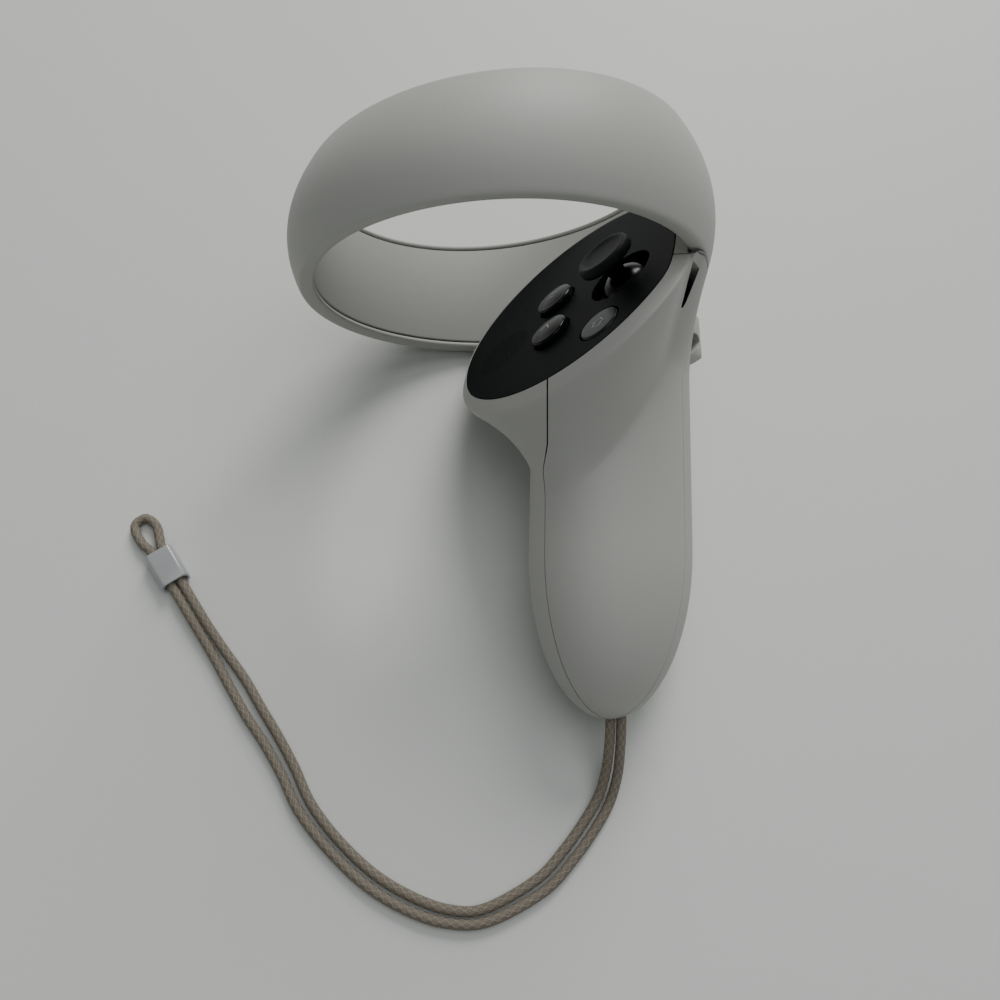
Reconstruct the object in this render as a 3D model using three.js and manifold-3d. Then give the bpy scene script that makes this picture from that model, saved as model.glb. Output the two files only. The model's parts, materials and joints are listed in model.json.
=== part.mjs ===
// Right-hand VR motion controller with a tracking ring, resting on its left and front side.
// The design frame has the ring's axis along Z, the front (trigger side) along +Y and the
// user's right along +X, with its origin at the centre of the ring's near rim.
import * as THREE from 'three';
import { mergeVertices } from 'three/addons/utils/BufferGeometryUtils.js';
import Module from 'manifold-3d';

const wasm = await Module();
wasm.setup();

// ---------- driving dimensions, mm ----------
const gap = 0.3;                 // between pieces that touch
const ring = {
  boreNear: 41, rimNear: 44.15, boreFar: 39.05, rimFar: 41.9, bulge: 3.4,
  height: 27, riseFront: 2.3, riseRight: 1.4,      // the far rim is tilted, highest at the front
  slantNear: 0.5, slantFar: 1.5, wall: 1.6, lip: 1.1, liner: 1.2, segments: 54,
};
const strip = { from: 154, to: 386, thickness: 0.5, width: 8, emitters: 12 };   // inside the ring
const face = {
  depth: 14, tilt: 53.35,        // plane's distance from the origin, and its slope in degrees
  x: 3, v: 10, halfLong: 33, halfShort: 31, turn: -25, boreMargin: 1.2, blend: 1.5,
  thickness: 1.6, bezelWidth: 2.7, bezelDrop: 2, ledge: 2.2, points: 48,
};
const grip = {
  x: 4, y: 25.2, z: -50, lean: 5, halfWidth: 16, halfDepth: 20,
  roundFrom: -58, tip: -94.5, coverTop: -1,
  flareLeft: 13, flareRight: 19, flareFront: 18, powerLeft: 1.8, powerRight: 1.35,
};
const wall = 1.8;                // moulded shell thickness of head and grip
const battery = {
  diameter: 14.5, length: 50.5, x: 2.5, y: -5, low: -26, clearance: 0.45, cradleWall: 1.4,
};
const stick = {
  x: 18.4, v: 10.6, hole: 7.7, pivot: -5.2, dome: 6.6, shaft: 2, cap: 6.5, capLow: 9.4, capHeight: 2.6,
};
const button = { radius: 4.7, height: 2.2, flange: 5.9, clearance: 0.35 };
const buttonAt = { upper: [-2.1, 11.3], lower: [4.2, -2.5], home: [21, -6.4] };
const board = { left: -10, right: 25.5, low: -10, high: 24, corner: 10, top: -7, thickness: 1.2 };
const carrier = { top: -3.6, thickness: 1.6 };
const trigger = {
  x: 4, width: 20, front: 54.2, low: -14.2, pivotY: 36.5, pivotZ: -5.8, pin: 1, pinGap: 0.3,
  corner: 8, tipCorner: 6, opening: 0.6,
};
const gripButton = {
  angle: 160, width: 13, height: 20, z: -39, corner: 4, proud: 0.9, under: 2.1,
  pin: 0.8, pinDepth: 5.9, pinBelowTop: 2.4, clearance: 0.7,
};
const cord = { diameter: 2.4, sides: 8, steps: 78, tension: 0.5 };
const slider = { length: 9, width: 6.8, height: 4.2, corner: 1.3, along: 17.4, clearance: 0.32 };
const exitSlot = { x: 0.4, y: 0.8, turn: 50.8, halfLength: 2.95, halfWidth: 1.55, anchor: -34.4 };
// resting attitude: the design-frame direction that points up, and the one that points right
const restUp = new THREE.Vector3(0.777, -0.582, 0.239).normalize();
const restRight = new THREE.Vector3(0.631, 0.774, -0.044);

const colours = {
  shell: 0xb9bab4, plate: 0x14181a, rubber: 0x0c0e0f, key: 0x1a1d1f, board: 0x1f4a35, frame: 0x2a2d30,
  steel: 0xb8bcc0, gold: 0xc9a45a, cell: 0x3c4a52, cord: 0x9c917f, slider: 0x9b9ea1,
};
const rad = THREE.MathUtils.degToRad;
const mix = THREE.MathUtils.lerp;
const smooth = THREE.MathUtils.smoothstep;

// ---------- meshes and booleans ----------
const controller = new THREE.Group();      // everything in the design frame
const facePlane = new THREE.Group();       // x right, y up the face, z out of it
const gripAxis = new THREE.Group();        // z up the grip
controller.add(facePlane, gripAxis);
facePlane.position.set(0, face.depth * Math.sin(rad(face.tilt)), -face.depth * Math.cos(rad(face.tilt)));
facePlane.rotation.x = rad(face.tilt);
gripAxis.position.set(grip.x, grip.y, grip.z);
gripAxis.rotation.x = -rad(grip.lean);
controller.updateMatrixWorld(true);

function addPiece(parent, name, geometry, colour, roughness = 0.6, metalness = 0) {
  const material = new THREE.MeshStandardMaterial({ color: colour, roughness, metalness });
  const mesh = new THREE.Mesh(geometry, material);
  mesh.name = name;
  parent.add(mesh);
  return mesh;
}

function solid(geometry) {
  let bare = geometry.clone();
  bare.deleteAttribute('normal');
  bare.deleteAttribute('uv');
  bare = mergeVertices(bare, 1e-4);
  const vertProperties = bare.attributes.position.array;
  const triVerts = new Uint32Array(bare.index.array);
  return new wasm.Manifold(new wasm.Mesh({ numProp: 3, vertProperties, triVerts }));
}

function shape(manifold) {
  const mesh = manifold.getMesh();
  const geometry = new THREE.BufferGeometry();
  geometry.setAttribute('position', new THREE.BufferAttribute(mesh.vertProperties.slice(), 3));
  geometry.setIndex(new THREE.BufferAttribute(mesh.triVerts.slice(), 1));
  return geometry;
}

// closed surface through rings of equally many points, each anticlockwise seen from the last ring
function loft(rings, closed = false) {
  const n = rings[0].length;
  const points = rings.flat();
  const faces = [];
  const last = closed ? rings.length : rings.length - 1;
  for (let i = 0; i < last; i += 1) {
    for (let j = 0; j < n; j += 1) {
      const a = i * n + j;
      const b = i * n + (j + 1) % n;
      const c = ((i + 1) % rings.length) * n + j;
      const d = ((i + 1) % rings.length) * n + (j + 1) % n;
      faces.push(a, b, d, a, d, c);
    }
  }
  if (!closed) {
    capRing(points, faces, rings[0], 0, true);
    capRing(points, faces, rings[rings.length - 1], (rings.length - 1) * n, false);
  }
  const geometry = new THREE.BufferGeometry();
  const numbers = points.flatMap((p) => p.toArray());
  geometry.setAttribute('position', new THREE.Float32BufferAttribute(numbers, 3));
  geometry.setIndex(faces);
  return geometry;
}

function capRing(points, faces, ringPoints, start, flip) {
  const total = ringPoints.reduce((sum, p) => sum.add(p), new THREE.Vector3());
  const centre = total.divideScalar(ringPoints.length);
  const hub = points.push(centre) - 1;
  ringPoints.forEach((p, j) => {
    const a = start + j;
    const b = start + (j + 1) % ringPoints.length;
    if (flip) faces.push(hub, b, a);
    else faces.push(hub, a, b);
  });
}

function placed(geometry, x, y, z) {
  return geometry.clone().translate(x, y, z);
}

function inDesign(group, geometry) {
  return geometry.clone().applyMatrix4(group.matrix);
}

function rod(radius, length, axis = 'z', sides = 20) {
  const geometry = new THREE.CylinderGeometry(radius, radius, length, sides);
  if (axis === 'z') geometry.rotateX(Math.PI / 2);
  if (axis === 'x') geometry.rotateZ(-Math.PI / 2);
  return geometry;
}

function slab(outline, low, high) {
  const options = { depth: high - low, bevelEnabled: false, curveSegments: 8 };
  return new THREE.ExtrudeGeometry(outline, options).translate(0, 0, low);
}

function roundedRect(left, right, low, high, corner) {
  const outline = new THREE.Shape();
  outline.absarc(right - corner, low + corner, corner, -Math.PI / 2, 0);
  outline.absarc(right - corner, high - corner, corner, 0, Math.PI / 2);
  outline.absarc(left + corner, high - corner, corner, Math.PI / 2, Math.PI);
  outline.absarc(left + corner, low + corner, corner, Math.PI, Math.PI * 1.5);
  return outline;
}

function turned(profile, sides = 28) {
  const points = profile.map(([r, z]) => new THREE.Vector2(r, z));
  return new THREE.LatheGeometry(points, sides).rotateX(Math.PI / 2);
}

function coil(radius, wire, length, turns) {
  const points = [];
  const steps = turns * 8;
  for (let i = 0; i <= steps; i += 1) {
    const a = (i / steps) * turns * Math.PI * 2;
    const z = wire + (length - 2 * wire) * (i / steps);
    points.push(new THREE.Vector3(radius * Math.cos(a), radius * Math.sin(a), z));
  }
  const section = new THREE.Shape();
  section.absarc(0, 0, wire, 0, Math.PI * 2);
  const extrudePath = new THREE.CatmullRomCurve3(points);
  return new THREE.ExtrudeGeometry(section, { steps, extrudePath, curveSegments: 3, bevelEnabled: false });
}

// ---------- tracking ring ----------
function ringHeight(a) {
  return ring.height + ring.riseRight * Math.cos(a) + ring.riseFront * Math.sin(a);
}

function boreAt(z) {
  return mix(ring.boreNear, ring.boreFar, z / ring.height);
}

function ringOutline(a, inset, count) {
  const h = ringHeight(a);
  const points = [];
  for (let i = 0; i <= count; i += 1) {
    const s = i / count;
    const r = mix(ring.rimNear, ring.rimFar, s) + ring.bulge * 4 * s * (1 - s) - inset;
    points.push([r, mix(-ring.slantNear, h - ring.slantFar, s)]);
  }
  return points;
}

function ringBody(section) {
  const rings = [];
  for (let i = 0; i < ring.segments; i += 1) {
    const a = (i / ring.segments) * Math.PI * 2;
    const around = ([r, z]) => new THREE.Vector3(r * Math.cos(a), r * Math.sin(a), z);
    rings.push(section(a).reverse().map(around));
  }
  return loft(rings, true);
}

function outerShellSection(a) {
  const h = ringHeight(a);
  const outside = ringOutline(a, 0, 6);
  const within = ([, z]) => z > ring.lip && z < h - ring.lip;
  const inside = ringOutline(a, ring.wall, 6).slice(1, -1).filter(within);
  inside.unshift([inside[0][0] - 0.6, ring.lip]);
  inside.push([inside[inside.length - 1][0] - 0.6, h - ring.lip]);
  const section = [[ring.boreNear, 0], ...outside, [ring.boreFar, h], [ring.boreFar, h - ring.lip]];
  return [...section, ...inside.reverse(), [ring.boreNear, ring.lip]];
}

function linerSection(a) {
  const low = ring.lip + gap;
  const high = ringHeight(a) - ring.lip - gap;
  const rLow = mix(ring.boreNear, ring.boreFar, low / ringHeight(a));
  const rHigh = mix(ring.boreNear, ring.boreFar, high / ringHeight(a));
  return [[rLow, low], [rLow + ring.liner, low], [rHigh + ring.liner, high], [rHigh, high]];
}

function addRing() {
  addPiece(controller, 'ring_outer_shell', ringBody(outerShellSection), colours.shell, 0.55);
  addPiece(controller, 'ring_inner_shell', ringBody(linerSection), colours.shell, 0.6);
  const radius = ring.boreNear + ring.liner + gap;
  const from = rad(strip.from);
  const to = rad(strip.to);
  const outline = new THREE.Shape();
  outline.absarc(0, 0, radius + strip.thickness, from, to);
  outline.absarc(0, 0, radius, to, from, true);
  const options = { depth: strip.width, bevelEnabled: false, curveSegments: 28 };
  const band = new THREE.ExtrudeGeometry(outline, options).translate(0, 0, ring.height / 2 - 4.5);
  addPiece(controller, 'tracking_strip', band, colours.gold, 0.5);
  for (let i = 0; i < strip.emitters; i += 1) {
    const a = mix(from, to, (i + 0.5) / strip.emitters);
    const lens = new THREE.BoxGeometry(0.8, 2.6, 1.8);
    const emitter = addPiece(controller, `infrared_emitter_${i + 1}`, lens, colours.cell, 0.3);
    const r = radius + strip.thickness + gap + 0.4;
    emitter.position.set(r * Math.cos(a), r * Math.sin(a), ring.height / 2 - 0.5);
    emitter.rotation.z = a;
  }
}

// ---------- face outline, head and grip ----------
function faceRadius(a) {
  const t = a - rad(face.turn);
  const across = Math.hypot(face.halfShort * Math.cos(t), face.halfLong * Math.sin(t));
  const round = (face.halfLong * face.halfShort) / across;
  const ySlope = Math.cos(rad(face.tilt)) * Math.sin(a);
  const yCentre = facePlane.position.y + Math.cos(rad(face.tilt)) * face.v;
  const reach = ring.boreFar - face.boreMargin;
  const qa = Math.cos(a) ** 2 + ySlope ** 2;
  const qb = face.x * Math.cos(a) + yCentre * ySlope;
  const qc = face.x ** 2 + yCentre ** 2 - reach ** 2;
  const bore = (-qb + Math.sqrt(qb * qb - qa * qc)) / qa;
  const d = Math.max(0, face.blend - Math.abs(round - bore));
  return Math.min(round, bore) - (d * d) / (4 * face.blend);
}

function facePoint(a, offset, depth) {
  const r = faceRadius(a) + offset;
  const p = new THREE.Vector3(face.x + r * Math.cos(a), face.v + r * Math.sin(a), -depth);
  return p.applyMatrix4(facePlane.matrix);
}

function angles(count) {
  return Array.from({ length: count }, (unused, i) => (i / count) * Math.PI * 2 - Math.PI / 2);
}

function degreesFromFront(a) {
  return THREE.MathUtils.radToDeg(Math.atan2(-Math.cos(a), Math.sin(a)));
}

// 1 where the head meets the ring's near rim, 0 where it is free of it
function frontness(a) {
  return 1 - smooth(Math.abs(degreesFromFront(a)), 82, 96);
}

function ringPoint(a, radius, z) {
  const theta = rad(90 + degreesFromFront(a) * 0.72);
  return new THREE.Vector3(radius * Math.cos(theta), radius * Math.sin(theta), z);
}

// the grip leans, so its centre moves toward the front as it rises
function axisY(z) {
  return grip.y + (z - grip.z) * Math.tan(rad(grip.lean));
}

function gripPoint(a, z, inset) {
  const tip = grip.tip + inset;
  const t = THREE.MathUtils.clamp((grip.roundFrom - z) / (grip.roundFrom - tip), 0, 1);
  const scale = Math.max(0.02, Math.sqrt(Math.max(0, 1 - t * t)));
  const x = grip.x + (grip.halfWidth - inset) * scale * Math.cos(a);
  const y = axisY(z) + (grip.halfDepth - inset) * scale * Math.sin(a);
  return new THREE.Vector3(x, y, z);
}

function flareHeight(a) {
  const side = mix(grip.flareRight, grip.flareLeft, smooth(-Math.cos(a), -0.4, 0.8));
  return mix(side, grip.flareFront, frontness(a));
}

function flarePower(a) {
  return mix(grip.powerRight, grip.powerLeft, Math.max(smooth(-Math.cos(a), -0.4, 0.8), frontness(a)));
}

// rings of the head and grip's outside, or of the hollow inside it when inset is the wall
function headRings(inset, count) {
  const hollow = inset > 0;
  const loops = hollow
    ? [[-face.ledge, -3], [-face.ledge, face.thickness + 1], [-0.6, face.bezelDrop + inset]]
    : [[gap, 0], [face.bezelWidth + gap, face.bezelDrop]];
  const rings = loops.map(([offset, depth]) => angles(count).map((a) => facePoint(a, offset, depth)));
  if (hollow) {
    const foot = ring.boreNear - gap - 2.2;
    rings[2] = angles(count).map((a, i) => rings[2][i].clone().lerp(ringPoint(a, foot, -0.6), frontness(a)));
  }
  const shoulder = angles(count).map((a, i) => {
    const side = rings[rings.length - 1][i].clone();
    side.z -= 0.6;
    const nearRim = -ring.slantNear - gap - (hollow ? inset : 0.05);
    return side.lerp(ringPoint(a, ring.rimNear - (hollow ? inset : 0.05), nearRim), frontness(a));
  });
  rings.push(shoulder);
  const flareSteps = 7;
  for (let k = 1; k <= flareSteps; k += 1) {
    const s = k / flareSteps;
    rings.push(angles(count).map((a, i) => {
      const z = shoulder[i].z - flareHeight(a) * s;
      const p = gripPoint(a, z, inset);
      return p.lerp(new THREE.Vector3(shoulder[i].x, shoulder[i].y, z), (1 - s) ** flarePower(a));
    }));
  }
  const gripSteps = 13;
  const flareEnd = rings[rings.length - 1];
  for (let k = 1; k <= gripSteps; k += 1) {
    const g = 1 - (1 - k / gripSteps) ** 1.7;
    rings.push(angles(count).map((a, i) => gripPoint(a, mix(flareEnd[i].z, grip.tip + inset, g), inset)));
  }
  return rings.map((r) => r.reverse());
}

function ringKeepOut() {
  const low = -ring.slantNear - gap;
  const high = ring.height + 18;
  const inner = [boreAt(low) - gap, low];
  return solid(turned([inner, [70, low], [70, high], [boreAt(high) - gap, high], inner], 96));
}

// region of the battery cover: a sector about the grip's axis whose edges move with height
function coverRegion(clearance) {
  const levels = [grip.coverTop - clearance, -4, -8, -12, -16, -20, -23, -26, -29, -32, -35, -38, -60, -100];
  const reach = [8, 15, 21, 28, 36];
  const rings = levels.map((z) => {
    const x = grip.x + 1;
    const y = axisY(z) - 1.5;
    const back = rad(mix(-93, -69, smooth(z, -38, -24)));
    const front = rad(mix(23, 58, smooth(z, -22, -4)));
    const apex = new THREE.Vector3(x + clearance, y - clearance, z);
    const arc = [];
    const spoke = (a, r, shift) => new THREE.Vector3(
      x + r * Math.cos(a) + Math.sin(a) * shift,
      y + r * Math.sin(a) - Math.cos(a) * shift,
      z,
    );
    reach.forEach((r) => arc.push(spoke(back, r, -clearance)));
    for (let i = 0; i <= 8; i += 1) {
      const shift = i === 0 ? -clearance : clearance;
      arc.push(spoke(mix(back, front, i / 8), 70, i % 8 === 0 ? shift : 0));
    }
    [...reach].reverse().forEach((r) => arc.push(spoke(front, r, clearance)));
    return [apex, ...arc];
  });
  return solid(loft(rings.map((r) => r.reverse())));
}

function platePocket() {
  const level = (depth) => angles(face.points).map((a) => facePoint(a, gap, depth)).reverse();
  return solid(loft([level(-6), level(face.thickness + 0.15)]));
}

function triggerFront(extra, top) {
  const half = trigger.width / 2 + extra;
  const low = trigger.low - extra * 4;
  return roundedRect(trigger.x - half, trigger.x + half, low, top, trigger.tipCorner + extra);
}

function triggerOpening() {
  const outline = triggerFront(trigger.opening, 12);
  const front = solid(slab(outline, 0, 26).rotateX(Math.PI / 2).translate(0, 62, 0));
  const above = new THREE.BoxGeometry(90, 90, 40).translate(0, 40, 20 - ring.slantNear - gap);
  return front.subtract(solid(above));
}

function gripButtonBlock(extra) {
  const w = gripButton.width / 2 + extra;
  const h = gripButton.height / 2 + extra;
  const outline = roundedRect(-w, w, -h, h, gripButton.corner + extra);
  const block = slab(outline, 6, 34).rotateX(Math.PI / 2).rotateZ(Math.PI);
  block.rotateZ(rad(gripButton.angle - 90));
  return solid(block.translate(grip.x, axisY(gripButton.z), gripButton.z));
}

function exitHole(extra) {
  const w = exitSlot.halfLength + extra;
  const h = exitSlot.halfWidth + extra;
  const slot = slab(roundedRect(-w, w, -h, h, h - 0.01), -60, -34).rotateZ(rad(exitSlot.turn));
  return solid(inDesign(gripAxis, slot.translate(exitSlot.x, exitSlot.y, 0)));
}

function addHousing() {
  const outside = solid(loft(headRings(0, face.points))).subtract(ringKeepOut());
  const hollow = solid(loft(headRings(wall, face.points)));
  const shell = outside.subtract(hollow).subtract(platePocket()).subtract(triggerOpening())
    .subtract(gripButtonBlock(gripButton.clearance)).subtract(exitHole(0));
  const cover = shell.intersect(coverRegion(gap / 2));
  const housing = shell.subtract(coverRegion(-gap / 2));
  addPiece(controller, 'main_housing', shape(largest(housing)), colours.shell, 0.55);
  addPiece(controller, 'battery_cover', shape(largest(cover)), colours.shell, 0.55);
  const key = gripButtonBlock(0).intersect(grown(gripButton.proud)).subtract(grown(-gripButton.under))
    .add(solid(gripButtonLug())).subtract(solid(gripButtonPin(gap, 40)));
  addPiece(controller, 'grip_button', shape(largest(key)), colours.shell, 0.55);
}

// the grip's outside, moved out from the grip's axis
function grown(amount) {
  const sides = headRings(0, face.points).slice(2);
  return solid(loft(sides.map((r) => r.map((p) => fromAxis(p, amount)))));
}

function largest(manifold) {
  return manifold.decompose().sort((a, b) => b.volume() - a.volume())[0];
}

function fromAxis(p, amount) {
  const out = new THREE.Vector3(p.x - grip.x, p.y - axisY(p.z), 0);
  const length = out.length();
  return length < 1e-6 ? p.clone() : p.clone().addScaledVector(out, amount / length);
}

// ---------- grip button parts: frame with x across, y inward, z up the button ----------
function buttonFrame(geometry) {
  const a = rad(gripButton.angle);
  const reach = 1 / Math.hypot(Math.cos(a) / grip.halfWidth, Math.sin(a) / grip.halfDepth);
  const x = grip.x + reach * Math.cos(a);
  const y = axisY(gripButton.z) + reach * Math.sin(a);
  return geometry.rotateZ(a + Math.PI / 2).translate(x, y, gripButton.z);
}

function gripButtonPin(extra, length) {
  const pinZ = gripButton.height / 2 - gripButton.pinBelowTop;
  return buttonFrame(rod(gripButton.pin + extra, length, 'x', 16).translate(0, gripButton.pinDepth, pinZ));
}

function gripButtonLug() {
  const pinZ = gripButton.height / 2 - gripButton.pinBelowTop;
  return buttonFrame(new THREE.BoxGeometry(9, 5.8, 3.8).translate(0, gripButton.pinDepth - 1.6, pinZ));
}

// two cheeks that carry the pin, joined behind by a bar
function gripButtonBracket() {
  const inner = 9.8;
  const cheekWall = 1.4;
  const low = -7;
  const pinZ = gripButton.height / 2 - gripButton.pinBelowTop;
  const high = pinZ + 2;
  const cheek = new THREE.BoxGeometry(cheekWall, 5, 4);
  const cheekX = (inner + cheekWall) / 2;
  const left = solid(placed(cheek, -cheekX, gripButton.pinDepth + 1, pinZ));
  const right = solid(placed(cheek, cheekX, gripButton.pinDepth + 1, pinZ));
  const rear = new THREE.BoxGeometry(inner + 2 * cheekWall, cheekWall, high - low);
  const bar = solid(rear.translate(0, gripButton.pinDepth + 3.1, (high + low) / 2));
  const bore = solid(rod(gripButton.pin + gap, 20, 'x', 16).translate(0, gripButton.pinDepth, pinZ));
  return shape(left.add(right).add(bar).subtract(bore));
}

function addGripButtonParts() {
  addPiece(controller, 'grip_button_pin', gripButtonPin(0, 12.6), colours.steel, 0.3, 1);
  addPiece(controller, 'grip_button_bracket', buttonFrame(gripButtonBracket()), colours.frame, 0.6);
  const spring = coil(1.4, 0.25, 5.4, 4).rotateX(-Math.PI / 2);
  addPiece(controller, 'grip_button_spring', buttonFrame(spring.translate(0, 2.6, -3)), colours.steel, 0.3, 1);
  const magnet = rod(1.3, 1.2, 'y', 16);
  addPiece(controller, 'grip_button_magnet', buttonFrame(magnet.translate(0, 3.2, -7)), colours.steel, 0.35, 1);
}

// ---------- trigger ----------
// side view of the lever: the boss about the pin, the flat top, and the curved finger pad
function triggerSide() {
  const outline = new THREE.Shape();
  const { front, low, pivotY: y, pivotZ: z } = trigger;
  outline.moveTo(y - 2.1, z + 1);
  outline.quadraticCurveTo(y - 1.6, z + 2.8, y + 0.6, z + 3.3);
  outline.lineTo(front - 1.4, -1.2);
  outline.quadraticCurveTo(front, -1.2, front, -3);
  outline.quadraticCurveTo(front - 0.6, low + 4.2, front - 6.8, low + 0.8);
  outline.quadraticCurveTo(front - 9.2, low, front - 10.2, low + 1.4);
  outline.quadraticCurveTo(front - 5.6, low + 4.6, front - 4.8, -7.6);
  outline.quadraticCurveTo(front - 5, -5.9, front - 7.2, -6.1);
  outline.lineTo(y + 2.6, z - 1.2);
  outline.quadraticCurveTo(y + 1.6, z - 2.8, y - 0.4, z - 2.4);
  outline.quadraticCurveTo(y - 2.5, z - 1.7, y - 2.1, z + 1);
  return outline;
}

function triggerBody() {
  const half = trigger.width / 2;
  const body = slab(triggerSide(), -half, half).rotateX(Math.PI / 2).rotateZ(Math.PI / 2);
  body.translate(trigger.x, 0, 0);
  const plan = roundedRect(trigger.x - half, trigger.x + half, 30, trigger.front, trigger.corner);
  const bore = rod(trigger.pin + trigger.pinGap, 60, 'x').translate(0, trigger.pivotY, trigger.pivotZ);
  const front = slab(triggerFront(0, 12), 0, 40).rotateX(Math.PI / 2).translate(0, 62, 0);
  return shape(solid(body).intersect(solid(slab(plan, -40, 20))).intersect(solid(front)).subtract(solid(bore)));
}

function addTrigger() {
  addPiece(controller, 'trigger', triggerBody(), colours.shell, 0.5);
  const pin = rod(trigger.pin, trigger.width + 4.4, 'x').translate(trigger.x, trigger.pivotY, trigger.pivotZ);
  addPiece(controller, 'trigger_pin', pin, colours.steel, 0.3, 1);
  const inner = trigger.width + 1.2;
  const cheekWall = 1.4;
  const cheek = new THREE.BoxGeometry(cheekWall, 7.6, 5);
  const cheekX = (inner + cheekWall) / 2;
  const cheekY = trigger.pivotY - 1.6;
  const barY = cheekY - 3;
  const left = solid(placed(cheek, trigger.x - cheekX, cheekY, trigger.pivotZ));
  const right = solid(placed(cheek, trigger.x + cheekX, cheekY, trigger.pivotZ));
  const rear = new THREE.BoxGeometry(inner + 2 * cheekWall, 1.6, 12);
  const bar = solid(rear.translate(trigger.x, barY, trigger.pivotZ - 4));
  const hole = rod(trigger.pin + trigger.pinGap, 60, 'x');
  const bore = solid(hole.translate(0, trigger.pivotY, trigger.pivotZ));
  addPiece(controller, 'trigger_bracket', shape(left.add(right).add(bar).subtract(bore)), colours.frame, 0.6);
  const springFrom = barY + 0.8 + gap;
  const springTo = trigger.front - 10.6;
  const spring = coil(1.7, 0.3, springTo - springFrom, 6).rotateX(-Math.PI / 2);
  spring.translate(trigger.x, springFrom, -10.6);
  addPiece(controller, 'trigger_spring', spring, colours.steel, 0.3, 1);
  const magnet = new THREE.BoxGeometry(3, 1.4, 3).translate(trigger.x + 5, trigger.front - 7.4, -8.6);
  addPiece(controller, 'trigger_magnet', magnet, colours.steel, 0.35, 1);
  const sensor = new THREE.BoxGeometry(6, 1, 6).translate(trigger.x + 6, springFrom + 0.5, -10.5);
  addPiece(controller, 'hall_sensor_board', sensor, colours.board, 0.5);
}

// ---------- face plate, thumbstick and buttons (in the face's own frame) ----------
function addFacePlate() {
  const outline = new THREE.Shape(angles(72).map((a) => {
    const r = faceRadius(a);
    return new THREE.Vector2(face.x + r * Math.cos(a), face.v + r * Math.sin(a));
  }));
  const circles = [[stick.x, stick.v, stick.hole]];
  Object.values(buttonAt).forEach(([x, v]) => circles.push([x, v, button.radius + button.clearance]));
  circles.forEach(([x, v, r]) => {
    const hole = new THREE.Path();
    hole.absarc(x, v, r, 0, Math.PI * 2);
    outline.holes.push(hole);
  });
  const options = { depth: face.thickness, bevelEnabled: false, curveSegments: 12 };
  const plate = new THREE.ExtrudeGeometry(outline, options);
  addPiece(facePlane, 'face_plate', plate.translate(0, 0, -face.thickness), colours.plate, 0.35);
}

function keyProfile(height, dome) {
  const low = -face.thickness - gap - 1;
  return [
    [0, low - 0.2], [1.6, low - 0.2], [1.6, low], [button.flange, low], [button.flange, low + 1],
    [button.radius, low + 1], [button.radius, height - dome - 0.5], [button.radius - 0.5, height - dome],
    [button.radius * 0.5, height - dome * 0.2], [0, height],
  ];
}

function addButtons() {
  const kinds = {
    upper: ['button_upper', button.height, 0.5],
    lower: ['button_lower', button.height, 0.5],
    home: ['home_button', 0.35, 0.1],
  };
  Object.entries(kinds).forEach(([key, [name, height, dome]]) => {
    const [x, v] = buttonAt[key];
    addPiece(facePlane, name, turned(keyProfile(height, dome), 24).translate(x, v, 0), colours.key, 0.4);
    const low = board.top + gap;
    const body = new THREE.BoxGeometry(5, 5, 2).translate(x, v, low + 1);
    addPiece(facePlane, `switch_${key}`, body, colours.frame, 0.5);
  });
}

function addThumbstick() {
  const at = new THREE.Group();
  at.position.set(stick.x, stick.v, stick.pivot);
  facePlane.add(at);
  const rimZ = 3.3;
  const domeArc = [1, 0.66, 0.33, 0].map((s) => {
    const r = mix(stick.shaft, Math.sqrt(stick.dome ** 2 - rimZ ** 2), s);
    return [r, Math.sqrt(stick.dome ** 2 - r * r)];
  });
  const shaftTop = stick.capLow + 1.1;
  const body = [[0, -2.2], [1.4, -2.2], [1.4, rimZ], ...domeArc, [stick.shaft, shaftTop], [0, shaftTop]];
  addPiece(at, 'thumbstick_dome', turned(body), colours.key, 0.15);
  const top = stick.capLow + stick.capHeight;
  const cap = [
    [0, shaftTop + gap], [stick.shaft + gap, shaftTop + gap], [stick.shaft + gap, stick.capLow],
    [stick.cap - 0.5, stick.capLow], [stick.cap, stick.capLow + 0.6], [stick.cap - 0.5, top - 0.4],
    [stick.cap - 0.9, top], [stick.cap - 1.6, top - 0.35], [0, top - 0.5],
  ];
  addPiece(at, 'thumbstick_cap', turned(cap), colours.rubber, 0.85);
  const yokeBlock = solid(new THREE.BoxGeometry(10, 5.4, 1.6)).subtract(solid(new THREE.BoxGeometry(4.2, 3.6, 4)));
  const trunnion = (x) => solid(rod(0.7, 2.8, 'x', 12).translate(x, 0, 0));
  const yoke = yokeBlock.add(trunnion(6.3)).add(trunnion(-6.3));
  addPiece(at, 'stick_yoke', shape(yoke), colours.frame, 0.5);
  const module = stick.hole + 0.3;
  const gimbalRing = solid(rod(module, 3, 'z', 32).translate(0, 0, -0.3))
    .subtract(solid(rod(module - 1.2, 8, 'z', 32)))
    .subtract(solid(rod(1, 2 * module + 2, 'x', 16)));
  addPiece(at, 'stick_gimbal', shape(gimbalRing), colours.frame, 0.5);
  const tray = solid(rod(module, 1.9, 'z', 32).translate(0, 0, -3.45))
    .subtract(solid(rod(module - 1.2, 1.9, 'z', 32).translate(0, 0, -2.45)));
  addPiece(at, 'stick_base', shape(tray), colours.steel, 0.4, 1);
  const contact = new THREE.BoxGeometry(2.4, 2.4, 0.6).translate(3.4, 3.4, -3.4 + gap + 0.3);
  addPiece(at, 'stick_switch', contact, colours.frame, 0.5);
}

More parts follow.
